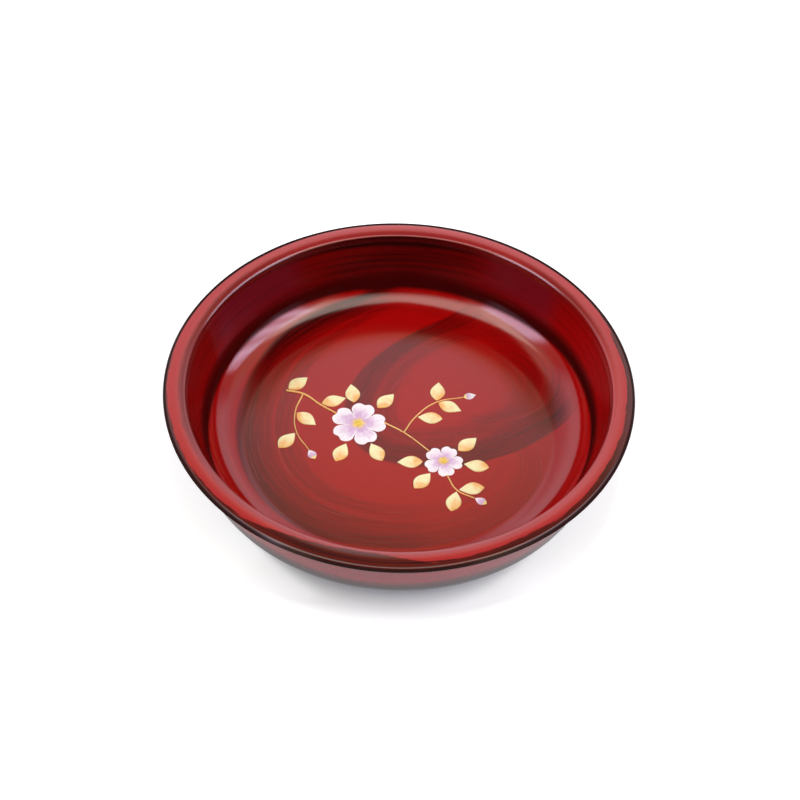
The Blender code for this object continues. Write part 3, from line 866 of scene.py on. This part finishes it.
def make_leaf(name, node, material):
    """Pointed oval with a raised midrib and side veins, in the place of a leaf of the frame."""
    base, tip = leaf_axis(node)
    along_axis = (tip - base).normalized()
    aside_axis = Vector((-along_axis.y, along_axis.x))
    length = (tip - base).length
    spots = [Vector((v.co.x, v.co.y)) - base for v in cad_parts[node].data.vertices]
    half_width = max(abs(spot.dot(aside_axis)) for spot in spots)
    steps_along, steps_across = LEAF_STEPS
    grid = []
    for i in range(steps_along + 1):
        share = i / steps_along
        half = half_width * math.sin(math.pi * share ** LEAF_FULLNESS)
        row = []
        for j in range(steps_across + 1):
            across = 2 * j / steps_across - 1
            crown = (1 - across ** 2) ** 0.5 * math.sin(math.pi * share ** LEAF_SWELL)
            midrib = MIDRIB_RISE * math.exp(-(across / MIDRIB_WIDTH) ** 2)
            wave = math.sin((share * VEIN_COUNT - abs(across) * VEIN_SLANT) * math.tau)
            vein = VEIN_RISE * wave * (1 - abs(across))
            height = SPRAY_EDGE + SPRAY_RISE * max(0.0, LEAF_CROWN * crown + midrib * crown + vein * crown)
            spot = base + along_axis * (length * share) + aside_axis * (half * across)
            row.append((spot.x, spot.y, height, share, across))
        grid.append(row)
    return stand_for(relief(name, grid, False, material), node)


def petal_reach(radius, angle):
    """Outline of a blossom of notched petals, one of which lies along angle 0."""
    across = math.remainder(angle, math.tau / PETALS) / (math.pi / PETALS)
    lobe = PETAL_VALLEY + (1.0 - PETAL_VALLEY) * max(0.0, 1.0 - across ** 2) ** PETAL_FULLNESS
    notch = PETAL_NOTCH * math.exp(-(across / PETAL_NOTCH_WIDTH) ** 2)
    return radius * (lobe - notch)


def blossom_centre(node):
    """Middle of a blossom of the frame."""
    spots = [v.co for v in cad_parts[node].data.vertices]
    return sum((Vector((spot.x, spot.y)) for spot in spots), Vector((0.0, 0.0))) / len(spots)


def make_blossom(name, node, radius, turn, material):
    """Five crowned petals, each with a furrow to its neighbour."""
    centre = blossom_centre(node)
    steps_out, steps_round = PETAL_STEPS[0], PETALS * PETAL_STEPS[1]
    grid = []
    for i in range(steps_out + 1):
        share = i / steps_out
        row = []
        for j in range(steps_round):
            angle = math.tau * j / steps_round
            across = math.remainder(angle, math.tau / PETALS) / (math.pi / PETALS)
            reach = share * petal_reach(radius, angle)
            crown = math.sin(math.pi * share ** PETAL_SWELL) * (1 - PETAL_DROOP * across ** 2)
            furrow = math.exp(-((1 - abs(across)) / FURROW_WIDTH) ** 2) * min(1.0, share * FURROW_SPREAD)
            ripple = RIPPLE_RISE * math.sin(across * RIPPLE_COUNT * math.pi) * share
            rise = crown * PETAL_CROWN - FURROW_DEPTH * furrow * crown + ripple * crown
            height = SPRAY_EDGE + SPRAY_RISE * max(0.0, rise)
            row.append((*polar(centre, reach, angle + turn), height, share, across))
        grid.append(row)
    return stand_for(relief(name, grid, True, material), node)


def make_stamen(name, node, material):
    """Button of pollen with a ring of anthers on short threads."""
    low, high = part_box(node)
    centre = (low + high) / 2
    radius = (high.x - low.x) / 2
    bm = bmesh.new()
    top = FLOOR + SPRAY_EDGE + 0.5 * SPRAY_RISE

    def bead(where, size, squash):
        shape = Matrix.Translation(where) @ Matrix.Diagonal((size, size, size * squash, 1.0))
        steps_round, steps_up = BEAD_STEPS
        bmesh.ops.create_uvsphere(bm, u_segments=steps_round, v_segments=steps_up, radius=1.0, matrix=shape)

    bead((centre.x, centre.y, top), radius * BUTTON_SIZE, BUTTON_SQUASH)
    for step in range(THREADS):
        angle = math.tau * step / THREADS + THREAD_TURN
        reach = radius * THREAD_REACHES[step % 2]
        for share in THREAD_SHARES:
            bead((*polar(centre, reach * share, angle), top + THREAD_RISE), radius * THREAD_SIZE, 1.0)
        bead((*polar(centre, reach, angle), top + ANTHER_RISE), radius * ANTHER_SIZE, ANTHER_SQUASH)
    return stand_for(finish_mesh(name, bm, material), node)


def petal_edge(centre, radius, turn, number):
    """Point just clear of the notch of a blossom's petal, counted anticlockwise from its turn."""
    angle = math.tau * number / PETALS
    return polar(centre, petal_reach(radius, angle) + FIT, angle + turn)


def stem_heading(route, index):
    """Direction of a stem at one point of its route."""
    before = route[max(index - 1, 0)]
    after = route[min(index + 1, len(route) - 1)]
    return math.atan2(after[1] - before[1], after[0] - before[0])


def spray_routes():
    """Stems on the floor, from the thick end; those that meet a blossom stop at its outline."""
    large = (blossom_centre("blossom_large"), LARGE_BLOSSOM_RADIUS, LARGE_TURN)
    small = (blossom_centre("blossom_small"), SMALL_BLOSSOM_RADIUS, SMALL_TURN)
    branch = BRANCH_POINTS + [petal_edge(*large, 2)]
    middle = [petal_edge(*large, 0), MIDDLE_POINT, petal_edge(*small, 2)]
    tail = [petal_edge(*small, 4)] + TAIL_POINTS
    fork = polar(middle[1], TWIG_RADIUS, stem_heading(middle, 1) + math.pi / 2)
    rising = [fork] + RISING_POINTS
    fork = polar(branch[1], BRANCH_RADIUS, stem_heading(branch, 1) - math.pi / 2)
    hanging = [fork] + HANGING_POINTS
    return {"gold_branch": branch, "gold_twig_middle": middle, "gold_twig_tail": tail,
            "gold_twig_rising": rising, "gold_twig_hanging": hanging}


def make_stem(node, route, radius, material):
    """Round line of gold half sunk in the floor, tapering along its route."""
    curve = bpy.data.curves.new(node + "_line", "CURVE")
    curve.dimensions = "3D"
    curve.bevel_depth = radius
    curve.bevel_resolution = STEM_BEVEL_STEPS
    curve.resolution_u = STEM_STEPS
    curve.use_fill_caps = True
    spline = curve.splines.new("BEZIER")
    spline.bezier_points.add(len(route) - 1)
    for index, (point, spot) in enumerate(zip(spline.bezier_points, route)):
        point.radius = 1.0 + (STEM_TIP - 1.0) * index / (len(route) - 1)
        point.co = (*spot, FLOOR + radius * STEM_RISE)
        point.handle_left_type = "AUTO"
        point.handle_right_type = "AUTO"
    curve.materials.append(material)
    return stand_for(new_object(node + "_line", curve), node)


def make_spray():
    """Stems, leaves, buds and blossoms in the places of those of the frame."""
    leaf_gold, line_gold = gold_leaf_material(), gold_line_material()
    petal, pollen = petal_material(), pollen_material()
    for node, route in spray_routes().items():
        make_stem(node, route, BRANCH_RADIUS if node == "gold_branch" else TWIG_RADIUS, line_gold)
    for number in range(1, LEAF_COUNT + 1):
        make_leaf(f"leaf_{number:02d}", f"gold_leaf_{number:02d}", leaf_gold)
    for part in ("tail", "rising", "hanging"):
        make_leaf(f"bud_{part}_petal", f"bud_{part}", petal)
    make_blossom("blossom_large_petals", "blossom_large", LARGE_BLOSSOM_RADIUS, LARGE_TURN, petal)
    make_blossom("blossom_small_petals", "blossom_small", SMALL_BLOSSOM_RADIUS, SMALL_TURN, petal)
    make_stamen("stamen_large_threads", "stamen_large", pollen)
    make_stamen("stamen_small_threads", "stamen_small", pollen)


# Studio

# Table, with its edges in millimetres: a painted shadow darkens it where it meets the bowl in front, with a
# glow round the bowl that only the camera sees, and a faint one under the foot that the camera doesn't see
TABLE_SIZE = 12.0
TABLE_COLOUR = (0.785, 0.785, 0.785, 1.0)
SHADE_COLOUR = (0.0, 0.0, 0.0, 1.0)
WHITE = (1.0, 1.0, 1.0, 1.0)
PAINTED_CONTACT_SHADE = 0.18
PAINTED_CONTACT_EDGES = (108.0, 97.0)
PAINTED_CONTACT_FRONT = (-78.0, -98.0)
FAR_GLOW = 0.45
FAR_EDGES = (101.5, 121.0)
NEAR_GLOW = [(0, 0.38), (180, 0.42), (217, 0.43), (231, 0.33), (245, 0.18), (259, 0.02), (272, 0.02),
             (285, 0.08), (299, 0.17), (313, 0.30), (335, 0.36)]
NEAR_EDGES = (97.0, 106.0)
NEAR_WIDTH = 1.15
UNDER_GLOW = 0.5
UNDER_EDGES = (46.0, 40.0)


def make_table():
    """Plain table that shows white where nothing shades it; seen from below it lets the view through."""
    bm = bmesh.new()
    bmesh.ops.create_grid(bm, x_segments=1, y_segments=1, size=TABLE_SIZE / 2)
    g = Finish("white_table")
    g.tree.nodes.remove(g.shader)
    diffuse = g.node("ShaderNodeBsdfDiffuse")
    seen = g.node("ShaderNodeLightPath").outputs["Is Camera Ray"]
    glow = g.node("ShaderNodeEmission")
    x, y, _ = g.place()
    turn, radius = g.polar(x, y)
    aside = g.polar(g.times(x, NEAR_WIDTH), y)[1]
    # Painted shadow: the table's colour darkens towards black close in front of the bowl
    shade = g.times(g.ease(aside, *PAINTED_CONTACT_EDGES), g.ease(y, *PAINTED_CONTACT_FRONT, 0.0, PAINTED_CONTACT_SHADE))
    g.put(diffuse.inputs["Color"], g.mix(shade, TABLE_COLOUR, SHADE_COLOUR))
    near = g.times(g.ease(aside, *NEAR_EDGES), g.around(turn, NEAR_GLOW))
    far = g.times(g.ease(radius, *FAR_EDGES), FAR_GLOW)
    under = g.times(g.ease(radius, *UNDER_EDGES), UNDER_GLOW)
    g.put(glow.inputs["Strength"], g.fade(seen, under, g.math("MAXIMUM", near, far)))
    both = g.node("ShaderNodeAddShader")
    g.put(both.inputs[0], diffuse.outputs[0])
    g.put(both.inputs[1], glow.outputs[0])
    sides = g.node("ShaderNodeMixShader")
    g.put(sides.inputs[0], g.node("ShaderNodeNewGeometry").outputs["Backfacing"])
    g.put(sides.inputs[1], both.outputs[0])
    g.put(sides.inputs[2], g.node("ShaderNodeBsdfTransparent").outputs[0])
    g.put(g.tree.nodes["Material Output"].inputs["Surface"], sides.outputs[0])
    mesh = bpy.data.meshes.new("white_table")
    bm.to_mesh(mesh)
    bm.free()
    mesh.materials.append(g.material)
    table = new_object("white_table", mesh)


# Light in the studio, as seen from the bowl: brightness, tint and limits of the white backdrop, of the fill
# at its sides, of the bank of lamps over the camera, and of the tall windows, one of which has panes
BACKDROP_LIGHT = 1.2
BACKDROP_COLOUR = (1.0, 0.98, 1.06, 1.0)
BACKDROP_TOP_COLOUR = (1.05, 1.0, 0.60, 1.0)
BACKDROP_WARMS = (0.735, 0.775)
BACKDROP_MIDDLE = 0.70
BACKDROP_MIDDLE_EDGES = (0.16, 0.05)
BACKDROP_SIDES = (0.05, 0.40)
BACKDROP_GAP = 0.30
BACKDROP_GAP_EDGES = (0.45, 0.75)
BACKDROP_FADE = [(0, 0.75), (0.27, 0.83), (0.43, 0.96), (0.55, 0.83), (0.65, 0.65), (0.70, 0.58),
                 (0.735, 0.55), (0.75, 0.44), (0.76, 0.38), (0.77, 0.32), (0.779, 0.27), (0.79, 0.15),
                 (0.80, 0.06), (0.83, 0), (1, 0)]
FILL_LIGHT = 0.85
FILL_COLOUR = (1.05, 1.0, 0.75)
FILL_SIDES = (0.46, 0.58)
FILL_TOP = (0.84, 0.78)
FILL_GROWS = (0.42, 0.62)
FILL_LOW = 0.4
FILL_FOOT = (0.02, 0.10)
BANK_LIGHT = 3.0
BANK_COLOUR = (1.03, 1.0, 0.88)
BANK_BEND = 0.45
BANK_NEAR = (0.36, 0.52)
BANK_FAR = (1.2, 0.65)
BANK_ENDS = (1.30, 1.0)
BANK_FOOT = (0.0, 0.1)
WINDOW_COLOUR = (0.96, 0.97, 1.30)
RIGHT_WINDOW = dict(light=5.0, azimuth=-38, across=(0.09, 1.55), height=(0.12, 1.02), bars=0.5)
LEFT_WINDOW = dict(light=4.6, azimuth=205, across=(-0.31, 0.31), height=(0.15, 0.80), bars=0.0)
PANE_FIRST = math.radians(12.2)
PANE_SPACING = math.radians(17.3)
PANE_SLANT = 0.35
WINDOW_EDGE = 0.08
WINDOW_FACED = (0.0, 0.05)
LEAST_DEPTH = 0.01


def band(g, value, limits, soft):
    """1 between two limits, fading to 0 over a soft edge."""
    low, high = limits
    return g.times(g.ease(value, low - soft, low + soft), g.ease(value, high + soft, high - soft))


def window_light(g, x, y, z, light, azimuth, across, height, bars):
    """Upright window whose nearest point lies at an azimuth; its edges are tangents, seen from the bowl.

    Bars dim the light between its panes.
    """
    cosine, sine = math.cos(math.radians(azimuth)), math.sin(math.radians(azimuth))
    ahead = g.plus(g.times(x, cosine), g.times(y, sine))
    aside = g.minus(g.times(y, cosine), g.times(x, sine))
    faced = g.ease(ahead, *WINDOW_FACED)
    depth = g.math("MAXIMUM", ahead, LEAST_DEPTH)
    sideways = g.math("DIVIDE", aside, depth)
    upwards = g.math("DIVIDE", z, depth)
    seen = g.times(band(g, sideways, across, WINDOW_EDGE), band(g, upwards, height, WINDOW_EDGE))
    slanted = g.math("MULTIPLY_ADD", g.minus(upwards, sum(height) / 2), PANE_SLANT, sideways)
    pane = g.minus(g.math("ARCTANGENT", slanted), PANE_FIRST)
    pane = g.math("COSINE", g.times(pane, math.tau / PANE_SPACING))
    light = g.math("MULTIPLY_ADD", pane, light * bars / 2, light * (1.0 - bars / 2))
    return g.times(g.times(seen, faced), light)


def bank_light(g, x, y, z):
    """Long bank of lamps overhead on the camera's side, bent round the bowl."""
    depth = g.math("MAXIMUM", z, LEAST_DEPTH)
    ahead = g.math("DIVIDE", g.times(y, -1.0), depth)
    aside = g.math("ABSOLUTE", g.math("DIVIDE", x, depth))
    bent = g.math("MULTIPLY_ADD", aside, BANK_BEND, ahead)
    seen = g.times(g.ease(bent, *BANK_NEAR), g.ease(ahead, *BANK_FAR))
    seen = g.times(seen, g.ease(aside, *BANK_ENDS))
    return g.times(g.times(seen, g.ease(z, *BANK_FOOT)), BANK_LIGHT)


def make_world():
    """Soft studio round the bowl; the camera itself sees plain white."""
    world = bpy.data.worlds.new("studio")
    bpy.context.scene.world = world
    g = Graph(world)
    parts = g.node("ShaderNodeSeparateXYZ")
    g.put(parts.inputs[0], g.node("ShaderNodeTexCoord").outputs["Generated"])
    x, y, z = parts.outputs[:]
    gap = g.times(g.ease(x, *BACKDROP_GAP_EDGES), BACKDROP_GAP)
    backdrop = g.times(g.ease(g.minus(y, gap), *BACKDROP_SIDES), g.curve(z, BACKDROP_FADE))
    brightest = BACKDROP_LIGHT * (1.0 + BACKDROP_MIDDLE)
    middle = g.ease(g.math("ABSOLUTE", x), *BACKDROP_MIDDLE_EDGES, BACKDROP_LIGHT, brightest)
    backdrop = g.times(backdrop, middle)
    windows = g.plus(window_light(g, x, y, z, **RIGHT_WINDOW), window_light(g, x, y, z, **LEFT_WINDOW))
    tint = g.mix(g.ease(z, *BACKDROP_WARMS), BACKDROP_COLOUR, BACKDROP_TOP_COLOUR)
    colour = g.vector("MULTIPLY", g.combine(backdrop, backdrop, backdrop), tint)
    fill = g.times(g.ease(g.math("ABSOLUTE", x), *FILL_SIDES), g.ease(z, *FILL_TOP))
    fill = g.times(fill, g.ease(z, *FILL_GROWS, FILL_LOW * FILL_LIGHT, FILL_LIGHT))
    fill = g.times(fill, g.ease(z, *FILL_FOOT))
    fill = g.math("MAXIMUM", g.minus(fill, backdrop), 0.0)
    for light, tint in ((bank_light(g, x, y, z), BANK_COLOUR), (windows, WINDOW_COLOUR), (fill, FILL_COLOUR)):
        colour = g.vector("MULTIPLY_ADD", g.combine(light, light, light), tint, colour)
    camera = g.node("ShaderNodeLightPath").outputs["Is Camera Ray"]
    background = g.tree.nodes["Background"]
    g.put(background.inputs["Color"], g.mix(camera, colour, WHITE))
    background.inputs["Strength"].default_value = 1.0


def make_camera():
    """Camera in front of the bowl, aimed at its axis and rolled a little."""
    lens = bpy.data.cameras.new("camera")
    lens.lens, lens.sensor_width = CAMERA_LENS, CAMERA_SENSOR
    lens.shift_x, lens.shift_y = CAMERA_SHIFT
    rise, reach = math.sin(CAMERA_ELEVATION), math.cos(CAMERA_ELEVATION)
    back, up, right = Vector((0, -reach, rise)), Vector((0, rise, reach)), Vector((1, 0, 0))
    cosine, sine = math.cos(CAMERA_ROLL), math.sin(CAMERA_ROLL)
    axes = Matrix((right * cosine + up * sine, up * cosine - right * sine, back)).transposed()
    item = new_object("camera", lens)
    where = Vector((0, 0, CAMERA_AIM)) + back * CAMERA_DISTANCE
    item.matrix_world = Matrix.Translation(where) @ axes.to_4x4()
    bpy.context.scene.camera = item


def make_studio():
    """Table, light and camera."""
    make_table()
    make_world()
    make_camera()
    bpy.context.scene.view_settings.view_transform = "Standard"


def main():
    """Dress every node of the frame and set the bowl in the studio."""
    stand_for(make_rim_hoop(lacquer_rim()), "rim_hoop")
    stand_for(make_interior(lacquer_red()), "interior_lacquer")
    stand_for(make_exterior(lacquer_exterior()), "exterior_lacquer")
    stand_for(make_foot_ring(lacquer_dark("foot_lacquer", BROWN, FOOT_WORN)), "foot_ring")
    stand_for(make_base(lacquer_dark("base_lacquer_dark", BLACK, 0.0)), "base_lacquer")
    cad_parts["bowl_body"].material_slots[0].material = turned_wood()
    make_spray()
    make_studio()


main()
